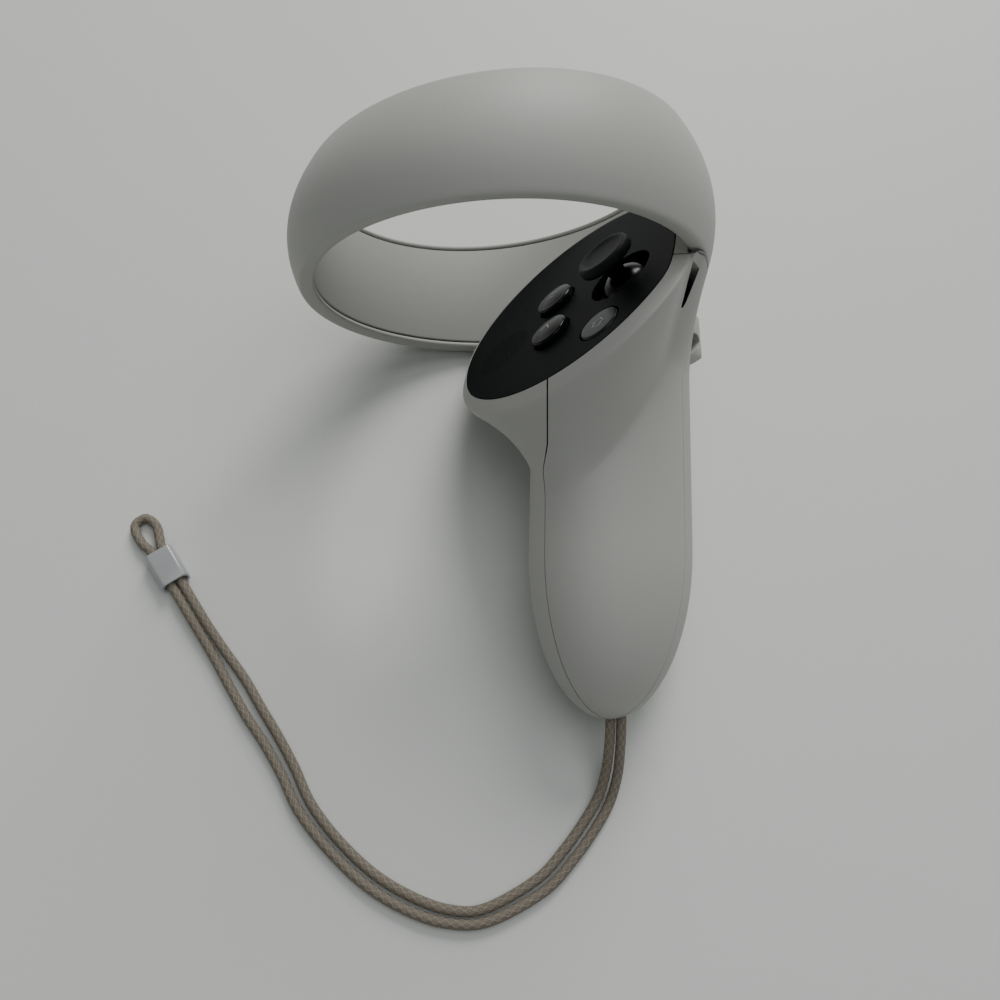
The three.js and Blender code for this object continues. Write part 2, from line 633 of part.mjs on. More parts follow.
function addBoards() {
  const outline = roundedRect(board.left, board.right, board.low, board.high, board.corner);
  const screwAt = [[-6, 18.5], [5.5, 20], [-6.5, 3], [12.5, -6.5]];
  const stickCut = solid(rod(stick.hole + 0.9, 30, 'z', 32).translate(stick.x, stick.v, 0));
  const full = solid(slab(outline, board.top - board.thickness, board.top)).subtract(stickCut);
  const drill = (body, [x, v]) => body.subtract(solid(rod(1.3, 30).translate(x, v, 0)));
  const drilled = screwAt.reduce(drill, full);
  addPiece(facePlane, 'main_board', shape(largest(drilled)), colours.board, 0.45);
  const low = carrier.top - carrier.thickness;
  let frame = solid(slab(outline, low, carrier.top)).subtract(stickCut);
  Object.values(buttonAt).forEach(([x, v]) => {
    frame = frame.subtract(solid(rod(button.flange + 0.6, 20).translate(x, v, 0)));
  });
  screwAt.forEach(([x, v]) => {
    frame = frame.add(solid(rod(2.2, 1.9).translate(x, v, low - 0.6)));
    frame = frame.subtract(solid(rod(1.25, 3).translate(x, v, low - 0.6)));
  });
  addPiece(facePlane, 'carrier_frame', shape(largest(frame)), colours.frame, 0.6);
  const head = board.top - board.thickness - gap;
  const tip = low - 0.1;
  screwAt.forEach(([x, v], i) => {
    const profile = [[0, head - 1.2], [1.9, head - 1.2], [1.9, head], [0.95, head], [0.95, tip], [0, tip]];
    const screw = turned(profile, 16).translate(x, v, 0);
    addPiece(facePlane, `board_screw_${i + 1}`, screw, colours.steel, 0.35, 1);
  });
}

// ---------- inside the grip (in the grip's own frame) ----------
function addPowerAndHaptics() {
  const at = new THREE.Group();
  at.position.set(battery.x, battery.y, battery.low);
  gripAxis.add(at);
  const r = battery.diameter / 2;
  const nub = 2.7;
  const shoulder = battery.length - 1;
  const cell = [
    [0, 0], [r - 0.4, 0], [r, 0.4], [r, shoulder - 0.4], [r - 0.4, shoulder], [nub, shoulder],
    [nub, battery.length], [0, battery.length],
  ];
  addPiece(at, 'battery_cell', turned(cell, 28), colours.cell, 0.4);
  const inner = r + battery.clearance;
  const outer = inner + battery.cradleWall;
  const low = -4.2;
  const high = battery.length + 2.6;
  const trough = new THREE.Shape();
  trough.absarc(0, 0, outer, rad(35), rad(235));
  trough.absarc(0, 0, inner, rad(235), rad(35), true);
  const endWall = 1.4;
  const endPlate = (z) => solid(rod(r, endWall, 'z', 28).translate(0, 0, z))
    .add(solid(new THREE.BoxGeometry(4, 3, endWall).translate(-r - 0.2, 0, z)));
  const cradle = solid(slab(trough, low, high))
    .add(endPlate(low + endWall / 2)).add(endPlate(high - endWall / 2));
  addPiece(at, 'inner_frame', shape(cradle), colours.frame, 0.6);
  const spring = coil(3.2, 0.3, 2.2, 2).translate(0, 0, low + endWall + gap);
  addPiece(at, 'battery_spring_contact', spring, colours.gold, 0.3, 1);
  const contact = new THREE.BoxGeometry(7, 7, 0.4).translate(0, 0, high - endWall - gap - 0.2);
  addPiece(at, 'battery_plate_contact', contact, colours.gold, 0.3, 1);
  const motor = new THREE.CapsuleGeometry(3.6, 9, 4, 16).rotateX(Math.PI / 2).translate(-1, 10.5, -22);
  addPiece(gripAxis, 'haptic_motor', motor, colours.steel, 0.35, 1);
  const anchor = rod(1, 9, 'x', 16).rotateZ(rad(exitSlot.turn)).translate(exitSlot.x, exitSlot.y, exitSlot.anchor);
  addPiece(gripAxis, 'cord_anchor_pin', anchor, colours.steel, 0.35, 1);
}

// ---------- wrist cord and its slider, lying on the table (in the resting frame) ----------
// middle of the doubled cord, and how far each strand lies from it
const anchorAt = [24.325, -52.361, 13.21];      // where the anchor pin rests
const cordMiddle = [
  [24.35, -53.9, 12.9], [24.25, -60, 11.75], [24.15, -64, 11], [24, -68.5, 8.5], [23.6, -73, 4.9],
  [22.2, -77.8, 2.1], [19.3, -82.6, 1.5], [14.4, -89, 1.4], [8.1, -95.3, 1.4], [-3, -101, 1.4],
  [-11.2, -101.3, 1.4], [-19.5, -98.7, 1.4], [-27.9, -94, 1.4], [-36, -87, 1.4], [-42.3, -79.7, 1.4],
  [-46.6, -72, 1.4], [-50.8, -65.4, 1.4], [-55.2, -59.3, 1.4], [-59.4, -53, 1.4], [-64.2, -46.3, 1.5],
  [-68.6, -40.2, 1.95], [-70.9, -36.9, 2.15], [-74.9, -31.1, 2.15], [-81.1, -22.1, 2.15],
];
const cordSpread = [
  1.35, 1.35, 1.35, 1.4, 1.5, 1.55, 1.6, 1.6, 1.6, 1.5, 1.5, 1.6,
  1.6, 1.6, 1.7, 1.8, 1.9, 2.1, 2.1, 1.6, 1.35, 1.35, 1.35, 1.35,
];
const endLoop = [
  [-81.6, -17.8, 1.7], [-82.9, -14.8, 1.4], [-85.6, -13, 1.4], [-87.8, -15.2, 1.4], [-85.6, -19.4, 1.7],
];

// the cord's first points follow the exit slot's height, and the rest of it lies on the table
function cordPoints() {
  const exit = new THREE.Vector3(exitSlot.x, exitSlot.y, exitSlot.anchor);
  const shift = gripAxis.localToWorld(exit).sub(new THREE.Vector3(...anchorAt));
  return cordMiddle.map(([x, y, z], i) => {
    const rise = shift.z * Math.max(0, 1 - Math.max(0, i - 2) / 4);
    return new THREE.Vector3(x + shift.x, y + shift.y, z + rise);
  });
}

function cordPath() {
  const middle = cordPoints();
  const last = middle.length - 1;
  const sides = [1, -1].map((side) => middle.map((p, i) => {
    const along = middle[Math.min(i + 1, last)].clone().sub(middle[Math.max(i - 1, 0)]);
    const across = new THREE.Vector3(-along.y, along.x, 0).normalize();
    return p.clone().addScaledVector(across, side * cordSpread[i]);
  }));
  const start = new THREE.Vector3(...cordMiddle[last]);
  const loop = endLoop.map((p) => new THREE.Vector3(...p).sub(start).add(middle[last]));
  const path = [...sides[1], ...loop, ...sides[0].reverse()];
  return new THREE.CatmullRomCurve3(path, false, 'catmullrom', cord.tension);
}

function addCord() {
  const section = new THREE.Shape();
  section.absarc(0, 0, cord.diameter / 2, 0, Math.PI * 2);
  const extrudePath = cordPath();
  const tube = { steps: cord.steps, extrudePath, curveSegments: cord.sides / 2, bevelEnabled: false };
  addPiece(object, 'wrist_cord', new THREE.ExtrudeGeometry(section, tube), colours.cord, 0.9);
}

// clamp that slides along the straight stretch of both strands
function addSlider() {
  const middle = cordPoints();
  const from = middle[20].clone().setZ(0);
  const along = middle[23].clone().setZ(0).sub(from).normalize();
  const centre = from.clone().addScaledVector(along, slider.along).setZ(middle[23].z);
  const bore = cord.diameter / 2 + slider.clearance;
  const half = slider.width / 2;
  const halfHeight = slider.height / 2;
  const body = slab(roundedRect(-half, half, -halfHeight, halfHeight, slider.corner), 0, slider.length);
  const spread = cordSpread[23] + bore;
  const hole = slab(roundedRect(-spread, spread, -bore, bore, bore - 0.01), -1, slider.length + 1);
  const clamp = addPiece(object, 'cord_slider', shape(solid(body).subtract(solid(hole))), colours.slider, 0.4);
  const across = new THREE.Vector3(-along.y, along.x, 0);
  const turn = new THREE.Matrix4().makeBasis(across, new THREE.Vector3(0, 0, 1), along);
  clamp.quaternion.setFromRotationMatrix(turn);
  clamp.position.copy(centre).addScaledVector(along, -slider.length / 2);
}

addRing();
addHousing();
addTrigger();
addGripButtonParts();
addFacePlate();
addButtons();
addThumbstick();
addBoards();
addPowerAndHaptics();

// ---------- resting attitude and origin ----------
const right = restRight.clone().addScaledVector(restUp, -restRight.dot(restUp)).normalize();
const away = new THREE.Vector3().crossVectors(restUp, right);
const toTable = new THREE.Matrix4().makeBasis(right, away, restUp).transpose();
controller.quaternion.setFromRotationMatrix(toTable);
controller.updateMatrixWorld(true);
const box = new THREE.Box3().setFromObject(controller, true);
const centre = box.getCenter(new THREE.Vector3());
controller.position.set(-centre.x, -centre.y, -box.min.z);

const object = new THREE.Group();
object.add(controller);
addCord();
addSlider();

export default object;
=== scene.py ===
import bpy
import json
import math
import numpy as np
from mathutils import Matrix, Vector


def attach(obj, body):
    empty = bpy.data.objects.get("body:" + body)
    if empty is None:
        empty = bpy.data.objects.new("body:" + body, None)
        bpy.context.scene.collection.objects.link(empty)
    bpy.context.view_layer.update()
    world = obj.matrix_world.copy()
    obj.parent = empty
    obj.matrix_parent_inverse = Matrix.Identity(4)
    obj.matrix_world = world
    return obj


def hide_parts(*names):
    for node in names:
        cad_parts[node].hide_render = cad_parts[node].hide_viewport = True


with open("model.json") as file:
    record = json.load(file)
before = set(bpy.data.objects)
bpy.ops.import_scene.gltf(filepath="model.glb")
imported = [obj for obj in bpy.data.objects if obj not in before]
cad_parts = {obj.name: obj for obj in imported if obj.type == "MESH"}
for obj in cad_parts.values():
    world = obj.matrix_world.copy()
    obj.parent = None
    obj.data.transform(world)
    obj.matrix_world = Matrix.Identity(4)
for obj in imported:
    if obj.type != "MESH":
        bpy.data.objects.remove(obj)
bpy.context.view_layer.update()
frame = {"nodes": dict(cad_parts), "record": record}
rad = math.radians

# Shapes are made in millimetres in the controller's own frame: Z along the ring's axis,
# Y to the front and X to the right, then set down in the row frame by toRow.
restUp = Vector((0.777, -0.582, 0.239)).normalized()
restRight = Vector((0.631, 0.774, -0.044))
rowOrigin = (-0.868, 25.862, 43.340)

gap = 0.3
wall = 1.8
ring = {
    "boreNear": 41, "rimNear": 44.15, "boreFar": 39.05, "rimFar": 41.9, "bulge": 3.4, "height": 27,
    "riseFront": 2.3, "riseRight": 1.4, "slantNear": 0.5, "slantFar": 1.5, "wall": 1.6, "lip": 1.1,
    "liner": 1.2, "segments": 216, "sharpBelow": 150, "softShell": 0.55, "softLiner": 0.22,
}
face = {
    "depth": 14, "tilt": 53.35, "x": 3, "v": 10, "halfLong": 33, "halfShort": 31, "turn": -25,
    "boreMargin": 1.2, "blend": 1.5, "thickness": 1.6, "bezelWidth": 2.7, "bezelDrop": 2, "ledge": 2.2,
}
grip = {
    "x": 4, "y": 25.2, "z": -50, "lean": 5, "halfWidth": 16, "halfDepth": 20, "roundFrom": -58,
    "tip": -94.5, "tipScale": 0.012, "flareLeft": 13, "flareRight": 19, "flareFront": 18,
    "powerLeft": 1.8, "powerRight": 1.35,
}


def basis(x, y, z, origin):
    m = Matrix((x, y, z)).transposed().to_4x4()
    m.translation = origin
    return m


rightFlat = (restRight - restUp * restRight.dot(restUp)).normalized()
toRow = Matrix((rightFlat, restUp.cross(rightFlat), restUp)).to_4x4()
toRow.translation = rowOrigin
metres = Matrix.Scale(0.001, 4)
tilt = rad(face["tilt"])
faceOrigin = Vector((0, face["depth"] * math.sin(tilt), -face["depth"] * math.cos(tilt)))
facePlane = Matrix.Translation(faceOrigin) @ Matrix.Rotation(tilt, 4, "X")
gripAxis = Matrix.Translation((grip["x"], grip["y"], grip["z"])) @ Matrix.Rotation(-rad(grip["lean"]), 4, "X")

# ---- camera
lens = {
    "place": (159.05, -135.31, -83.12),
    "forward": (-0.7595, 0.6285, 0.1679),
    "right": (0.6312, 0.7744, -0.0435),
}
camera = bpy.data.objects.new("camera", bpy.data.cameras.new("camera"))
bpy.context.scene.collection.objects.link(camera)
bpy.context.scene.camera = camera
camera.data.lens = 36
camera.data.sensor_width = 36
camera.data.clip_start = 0.01
lookAlong = (toRow.to_3x3() @ Vector(lens["forward"])).normalized()
lookRight = (toRow.to_3x3() @ Vector(lens["right"])).normalized()
lookRight = (lookRight - lookAlong * lookRight.dot(lookAlong)).normalized()
camera.matrix_world = basis(
    lookRight, lookRight.cross(lookAlong), -lookAlong, toRow @ Vector(lens["place"]) * 0.001
)


# ---- materials
def surface(
    name, colour, roughness, metallic=0.0, grain=0.0, grainScale=900.0, mottle=0.0,
    coat=0.0, clear=0.0, shine=0.5,
):
    m = bpy.data.materials.new(name)
    m.use_nodes = True
    nodes, links = m.node_tree.nodes, m.node_tree.links
    shader = nodes["Principled BSDF"]
    shader.inputs["Base Color"].default_value = (*colour, 1)
    shader.inputs["Roughness"].default_value = roughness
    shader.inputs["Metallic"].default_value = metallic
    shader.inputs["Specular IOR Level"].default_value = shine
    shader.inputs["Coat Weight"].default_value = coat
    shader.inputs["Coat Roughness"].default_value = 0.12
    shader.inputs["Transmission Weight"].default_value = clear
    where = nodes.new("ShaderNodeTexCoord")
    if grain > 0:
        noise = nodes.new("ShaderNodeTexNoise")
        noise.inputs["Scale"].default_value = grainScale
        noise.inputs["Detail"].default_value = 3
        links.new(where.outputs["Object"], noise.inputs["Vector"])
        bump = nodes.new("ShaderNodeBump")
        bump.inputs["Strength"].default_value = grain
        bump.inputs["Distance"].default_value = 0.0002
        links.new(noise.outputs["Fac"], bump.inputs["Height"])
        links.new(bump.outputs["Normal"], shader.inputs["Normal"])
    if mottle > 0:
        cloud = nodes.new("ShaderNodeTexNoise")
        cloud.inputs["Scale"].default_value = 38
        cloud.inputs["Detail"].default_value = 4
        links.new(where.outputs["Object"], cloud.inputs["Vector"])
        mixer = nodes.new("ShaderNodeMix")
        mixer.data_type = "RGBA"
        mixer.inputs["A"].default_value = (*[c * (1 - mottle) for c in colour], 1)
        mixer.inputs["B"].default_value = (*[min(1, c * (1 + mottle)) for c in colour], 1)
        links.new(cloud.outputs["Fac"], mixer.inputs["Factor"])
        links.new(mixer.outputs["Result"], shader.inputs["Base Color"])
    return m


shellLook = surface("shell", (0.42, 0.42, 0.395), 0.55, grain=0.10, grainScale=2600, mottle=0.02)
plateLook = surface("plate", (0.0016, 0.0034, 0.0038), 0.5, grain=0.35, grainScale=2200, shine=0.05)
keyLook = surface("key", (0.003, 0.0035, 0.004), 0.2, shine=0.25)
homeLook = surface("home", (0.010, 0.012, 0.014), 0.3, shine=0.3)
rubberLook = surface("rubber", (0.004, 0.005, 0.006), 0.6, grain=0.4, grainScale=1800, shine=0.3)
markLook = surface("mark", (0.34, 0.36, 0.37), 0.4)
frameLook = surface("frame", (0.025, 0.027, 0.03), 0.55)
steelLook = surface("steel", (0.55, 0.56, 0.57), 0.3, metallic=1)
sliderLook = surface("slider", (0.50, 0.51, 0.52), 0.28, coat=0.4, clear=0.25)
innards = {
    "board": surface("board", (0.015, 0.07, 0.035), 0.4),
    "flex": surface("flex", (0.45, 0.25, 0.05), 0.4),
    "lens": surface("lens", (0.05, 0.07, 0.09), 0.2),
    "contact": surface("contact", (0.6, 0.42, 0.18), 0.3, metallic=1),
    "cell": surface("cell", (0.05, 0.08, 0.1), 0.35),
    "frame": frameLook, "steel": steelLook, "shell": shellLook, "plate": plateLook,
    "key": keyLook, "rubber": rubberLook, "slider": sliderLook,
}
slotOf = {s["node"]: s["material_slot"] for s in frame["record"]["subparts"]}
for node, obj in frame["nodes"].items():
    look = innards.get(slotOf.get(node))
    if look is None:
        continue
    if not obj.material_slots:
        obj.data.materials.append(look)
    for place in obj.material_slots:
        place.material = look
print("materials made")


# ---- meshes
def objectFrom(name, points, faces):
    mesh = bpy.data.meshes.new(name)
    mesh.from_pydata([tuple(p) for p in points], [], faces)
    mesh.update()
    obj = bpy.data.objects.new(name, mesh)
    bpy.context.scene.collection.objects.link(obj)
    return obj


def loft(name, rings, closed=False):
    n = len(rings[0])
    points = [p for r in rings for p in r]
    faces = []
    last = len(rings) if closed else len(rings) - 1
    for i in range(last):
        k = (i + 1) % len(rings)
        for j in range(n):
            a, b = i * n + j, i * n + (j + 1) % n
            c, d = k * n + j, k * n + (j + 1) % n
            faces.append((a, b, d, c))
    if not closed:
        faces.append(tuple(reversed(range(n))))
        faces.append(tuple((len(rings) - 1) * n + j for j in range(n)))
    return objectFrom(name, points, faces)


def circle(x, y, r, count=96):
    turns = [2 * math.pi * i / count for i in range(count)]
    return [(x + r * math.cos(a), y + r * math.sin(a)) for a in turns]


def lathe(name, profile, sides=96):
    rings = []
    for r, z in profile:
        rings.append([(x, y, z) for x, y in circle(0, 0, r, sides)])
    return loft(name, rings)


def evaluated(obj):
    graph = bpy.context.evaluated_depsgraph_get()
    mesh = bpy.data.meshes.new_from_object(obj.evaluated_get(graph), depsgraph=graph)
    obj.modifiers.clear()
    old = obj.data
    obj.data = mesh
    bpy.data.meshes.remove(old)
    return obj


def boolean(obj, other, operation):
    m = obj.modifiers.new("cut", "BOOLEAN")
    m.operation = operation
    m.solver = "MANIFOLD"
    m.object = other
    evaluated(obj)
    bpy.data.objects.remove(other)
    return obj


def meshOf(curve):
    source = bpy.data.objects.new(curve.name, curve)
    bpy.context.scene.collection.objects.link(source)
    graph = bpy.context.evaluated_depsgraph_get()
    mesh = bpy.data.meshes.new_from_object(source.evaluated_get(graph), depsgraph=graph)
    bpy.data.objects.remove(source)
    obj = bpy.data.objects.new(curve.name, mesh)
    bpy.context.scene.collection.objects.link(obj)
    return obj


def copyOf(obj):
    twin = bpy.data.objects.new(obj.name + "_copy", obj.data.copy())
    bpy.context.scene.collection.objects.link(twin)
    return twin


def bevelled(obj, width, angle=40, segments=2):
    m = obj.modifiers.new("bevel", "BEVEL")
    m.width = width
    m.segments = segments
    m.limit_method = "ANGLE"
    m.angle_limit = rad(angle)
    m.harden_normals = False
    return evaluated(obj)


def finishPiece(obj, name, look, body, nodes=(), place=Matrix.Identity(4), sharp=32):
    mesh = obj.data
    mesh.transform(metres @ toRow @ place)
    for p in mesh.polygons:
        p.use_smooth = True
    mesh.set_sharp_from_angle(angle=rad(sharp))
    mesh.materials.clear()
    mesh.materials.append(look)
    obj.name = name
    mesh.name = name
    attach(obj, body)
    if nodes:
        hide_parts(*nodes)
    return obj


def outlineRect(left, right, low, high, corner, steps=10):
    centres = [
        (right - corner, low + corner, -90), (right - corner, high - corner, 0),
        (left + corner, high - corner, 90), (left + corner, low + corner, 180),
    ]
    points = []
    for x, y, start in centres:
        for i in range(steps + 1):
            a = rad(start + 90 * i / steps)
            points.append((x + corner * math.cos(a), y + corner * math.sin(a)))
    return points


def slab(name, outline, low, high):
    return loft(name, [[(x, y, low) for x, y in outline], [(x, y, high) for x, y in outline]])


def moved(obj, matrix):
    obj.data.transform(matrix)
    return obj


def mixed(a, b, s):
    return a + (b - a) * s


def smoothStep(x, low, high):
    t = min(1, max(0, (x - low) / (high - low)))
    return t * t * (3 - 2 * t)


# ---- tracking ring
def ringHeight(a):
    return ring["height"] + ring["riseRight"] * math.cos(a) + ring["riseFront"] * math.sin(a)


def ringOuter(a, inset, count):
    h = ringHeight(a)
    points = []
    for i in range(count + 1):
        s = i / count
        r = mixed(ring["rimNear"], ring["rimFar"], s) + ring["bulge"] * 4 * s * (1 - s) - inset
        points.append((r, mixed(-ring["slantNear"], h - ring["slantFar"], s)))
    return points


def cornersOf(points):
    found = []
    n = len(points)
    for i in range(n):
        a, b, c = (np.array(points[(i + k) % n], float) for k in (-1, 0, 1))
        u, v = a - b, c - b
        cosine = float(u @ v / (np.linalg.norm(u) * np.linalg.norm(v)))
        found.append(math.degrees(math.acos(max(-1, min(1, cosine)))) < ring["sharpBelow"])
    return found


def softened(points, radius, corners, steps=4):
    result = []
    n = len(points)
    for i in range(n):
        a, b, c = (np.array(points[(i + k) % n], float) for k in (-1, 0, 1))
        u, v = a - b, c - b
        lu, lv = np.linalg.norm(u), np.linalg.norm(v)
        if not corners[i]:
            result.append(tuple(b))
            continue
        ru, rv = min(radius, lu * 0.45), min(radius, lv * 0.45)
        p, q = b + u / lu * ru, b + v / lv * rv
        for k in range(steps + 1):
            t = k / steps
            result.append(tuple(p * (1 - t) ** 2 + b * 2 * t * (1 - t) + q * t * t))
    return result


def ringLoft(name, section, radius, steps):
    rings = []
    corners = cornersOf(section(0))
    for i in range(ring["segments"]):
        a = 2 * math.pi * i / ring["segments"]
        edge = softened(section(a), radius, corners, steps)
        rings.append([(r * math.cos(a), r * math.sin(a), z) for r, z in reversed(edge)])
    return loft(name, rings, closed=True)


def outerShell(a):
    h = ringHeight(a)
    lip = ring["lip"]
    outside = ringOuter(a, 0, 22)
    inside = ringOuter(a, ring["wall"], 22)[2:-2]
    inside = [(inside[0][0] - 0.6, lip)] + inside + [(inside[-1][0] - 0.6, h - lip)]
    section = [(ring["boreNear"], 0)] + outside + [(ring["boreFar"], h), (ring["boreFar"], h - lip)]
    return section + inside[::-1] + [(ring["boreNear"], lip)]


def linerShell(a):
    h = ringHeight(a)
    low, high = ring["lip"] + gap, h - ring["lip"] - gap
    rLow = mixed(ring["boreNear"], ring["boreFar"], low / h)
    rHigh = mixed(ring["boreNear"], ring["boreFar"], high / h)
    return [(rLow, low), (rLow + ring["liner"], low), (rHigh + ring["liner"], high), (rHigh, high)]


ringShell = ringLoft("ringShell", outerShell, ring["softShell"], 3)
finishPiece(ringShell, "ringShell", shellLook, "controller_body", ["ring_outer_shell"], sharp=50)
ringLiner = ringLoft("ringLiner", linerShell, ring["softLiner"], 2)
finishPiece(ringLiner, "ringLiner", shellLook, "controller_body", ["ring_inner_shell"], sharp=50)
print("ring made")


# ---- head and grip
def faceRadius(a):
    t = a - rad(face["turn"])
    across = math.hypot(face["halfShort"] * math.cos(t), face["halfLong"] * math.sin(t))
    oval = face["halfLong"] * face["halfShort"] / across
    ySlope = math.cos(tilt) * math.sin(a)
    yCentre = faceOrigin.y + math.cos(tilt) * face["v"]
    reach = ring["boreFar"] - face["boreMargin"]
    qa = math.cos(a) ** 2 + ySlope ** 2
    qb = face["x"] * math.cos(a) + yCentre * ySlope
    qc = face["x"] ** 2 + yCentre ** 2 - reach ** 2
    bore = (-qb + math.sqrt(qb * qb - qa * qc)) / qa
    d = max(0, face["blend"] - abs(oval - bore))
    return min(oval, bore) - d * d / (4 * face["blend"])


def facePoint(a, offset, depth):
    r = faceRadius(a) + offset
    return facePlane @ Vector((face["x"] + r * math.cos(a), face["v"] + r * math.sin(a), -depth))


def angles(count):
    return [i / count * 2 * math.pi - math.pi / 2 for i in range(count)]


def frontAngle(a):
    return math.degrees(math.atan2(math.sin(a - math.pi / 2), math.cos(a - math.pi / 2)))


def frontness(a):
    return 1 - smoothStep(abs(frontAngle(a)), 82, 96)


def ringPoint(a, radius, z):
    theta = rad(90 + frontAngle(a) * 0.72)
    return Vector((radius * math.cos(theta), radius * math.sin(theta), z))


def gripAxisY(z):
    return grip["y"] + (z - grip["z"]) * math.tan(rad(grip["lean"]))


def gripPoint(a, z, inset):
    tip = grip["tip"] + inset
    t = min(1, max(0, (grip["roundFrom"] - z) / (grip["roundFrom"] - tip)))
    scale = max(grip["tipScale"], math.sqrt(max(0, 1 - t * t)))
    x = grip["x"] + (grip["halfWidth"] - inset) * scale * math.cos(a)
    y = gripAxisY(z) + (grip["halfDepth"] - inset) * scale * math.sin(a)
    return Vector((x, y, z))


def leftness(a):
    return smoothStep(-math.cos(a), -0.4, 0.8)


def flareHeight(a):
    side = mixed(grip["flareRight"], grip["flareLeft"], leftness(a))
    return mixed(side, grip["flareFront"], frontness(a))


def flarePower(a):
    return mixed(grip["powerRight"], grip["powerLeft"], max(leftness(a), frontness(a)))


def bezier(p, q, r, steps):
    return [p * (1 - t) ** 2 + q * 2 * t * (1 - t) + r * t * t for t in (i / steps for i in range(steps + 1))]


head = {
    "flareSteps": 26, "gripSteps": 40, "gripEase": 1.7, "bezelSoft": 0.55, "footInset": 2.2, "fit": 0.05,
    "drop": 0.6,
}


# points down the head and grip at one angle, outside, or in the hollow when inset is the wall
def headColumn(a, inset):
    f = frontness(a)
    drop = head["drop"]
    if inset > 0:
        top = [facePoint(a, -face["ledge"], -3), facePoint(a, -face["ledge"], face["thickness"] + 1)]
        foot = ringPoint(a, ring["boreNear"] - gap - head["footInset"], -drop)
        edge = facePoint(a, -drop, face["bezelDrop"] + inset).lerp(foot, f)
    else:
        top = [facePoint(a, gap, 0)]
        edge = facePoint(a, face["bezelWidth"] + gap, face["bezelDrop"])
    side = edge.copy()
    side.z -= drop
    margin = inset if inset > 0 else head["fit"]
    shoulder = side.lerp(ringPoint(a, ring["rimNear"] - margin, -ring["slantNear"] - gap - margin), f)
    flare = []
    for k in range(1, head["flareSteps"] + 1):
        s = k / head["flareSteps"]
        z = shoulder.z - flareHeight(a) * s
        above = Vector((shoulder.x, shoulder.y, z))
        flare.append(gripPoint(a, z, inset).lerp(above, (1 - s) ** flarePower(a)))
    down = []
    for k in range(1, head["gripSteps"] + 1):
        s = 1 - (1 - k / head["gripSteps"]) ** head["gripEase"]
        down.append(gripPoint(a, mixed(flare[-1].z, grip["tip"] + inset, s), inset))
    if inset > 0:
        return top + [edge, shoulder] + flare + down
    soft = head["bezelSoft"]
    toTop = (top[0] - edge).normalized() * soft
    if f > 0.5:
        toNext = (shoulder - edge).normalized() * min(soft, (shoulder - edge).length * 0.4)
    else:
        toNext = (flare[0] - edge).normalized() * soft
    corner = bezier(edge + toTop, edge, edge + toNext, 5)
    between = shoulder if f > 0.5 else corner[-1].lerp(flare[0], 0.5)
    return top + corner + [between] + flare + down


def headLoft(name, inset, count, fromAxis=0.0, skip=0):
    columns = [headColumn(a, inset) for a in angles(count)]
    rings = [[columns[j][i] for j in range(count)] for i in range(len(columns[0]))][skip:]
    if fromAxis:
        rings = [[pushed(p, fromAxis) for p in r] for r in rings]
    return loft(name, [list(reversed(r)) for r in rings])


def pushed(p, amount):
    out = Vector((p.x - grip["x"], p.y - gripAxisY(p.z), 0))
    return p if out.length < 1e-6 else p + out * (amount / out.length)


# the cover's rear seam is a flat cut on the head and follows the grip's flank further down
seam = {
    "facing": (0.667, 0.745, -0.051), "offset": 9.62, "low": -46, "high": -37, "rear": -93, "rearTop": -50,
    "front": 33, "frontTop": 58, "frontLow": -22, "frontHigh": -4, "far": 70,
    "levels": [
        -2, -4, -6, -8, -10, -12, -14, -16, -18, -20, -22, -24, -26, -30, -34,
        -37, -39, -41, -43, -46, -60, -100,
    ],
}


def coverRegion(clearance):
    levels = [-1 - clearance] + seam["levels"]
    spokes = list(range(6, 37, 2))
    far = seam["far"]
    facing = Vector(seam["facing"])
    level = facing.to_2d().length
    rings = []
    for z in levels:
        x = grip["x"] + 1
        y = gripAxisY(z) - 1.5
        flat = smoothStep(z, seam["low"], seam["high"])
        back = rad(mixed(seam["rear"], seam["rearTop"], flat))
        frontRise = smoothStep(z, seam["frontLow"], seam["frontHigh"])
        front = rad(mixed(seam["front"], seam["frontTop"], frontRise))
        beyond = (facing.dot((x, y, z)) - seam["offset"]) / level - clearance
        foot = Vector((x - facing.x / level * beyond, y - facing.y / level * beyond, z))
        along = Vector((facing.y, -facing.x, 0)) / level

        def spoke(a, r, shift):
            shifted = (math.sin(a) * shift, -math.cos(a) * shift)
            return Vector((x + r * math.cos(a) + shifted[0], y + r * math.sin(a) + shifted[1], z))

        def rear(r):
            return spoke(rad(seam["rear"]), r, -clearance).lerp(foot + along * (r - spokes[0]), flat)

        row = [Vector((x + clearance, y - clearance, z))]
        row += [rear(r) for r in spokes] + [rear(far)]
        row += [spoke(mixed(back, front, i / 8), far, 0) for i in range(1, 8)]
        row += [spoke(front, r, clearance) for r in [far] + spokes[::-1]]
        rings.append(list(reversed(row)))
    return loft("region", rings)


button = {
    "angle": 160, "width": 13, "height": 20, "z": -39, "corner": 4, "proud": 0.9, "under": 2.1,
    "clearance": 0.7,
}
trigger = {
    "x": 4, "width": 20, "front": 54.2, "low": -14.2, "pivotY": 36.5, "pivotZ": -5.8,
    "corner": 8, "tipCorner": 6, "opening": 0.6,
}
exitSlot = {"x": 0.4, "y": 0.8, "turn": 50.8, "halfLength": 2.95, "halfWidth": 1.55}


upright = Matrix.Rotation(math.pi / 2, 4, "X")


def buttonBlock(extra):
    w, h = button["width"] / 2 + extra, button["height"] / 2 + extra
    block = slab("block", outlineRect(-w, w, -h, h, button["corner"] + extra), 6, 34)
    turn = Matrix.Rotation(rad(button["angle"] - 90), 4, "Z") @ Matrix.Rotation(math.pi, 4, "Z") @ upright
    return moved(block, Matrix.Translation((grip["x"], gripAxisY(button["z"]), button["z"])) @ turn)


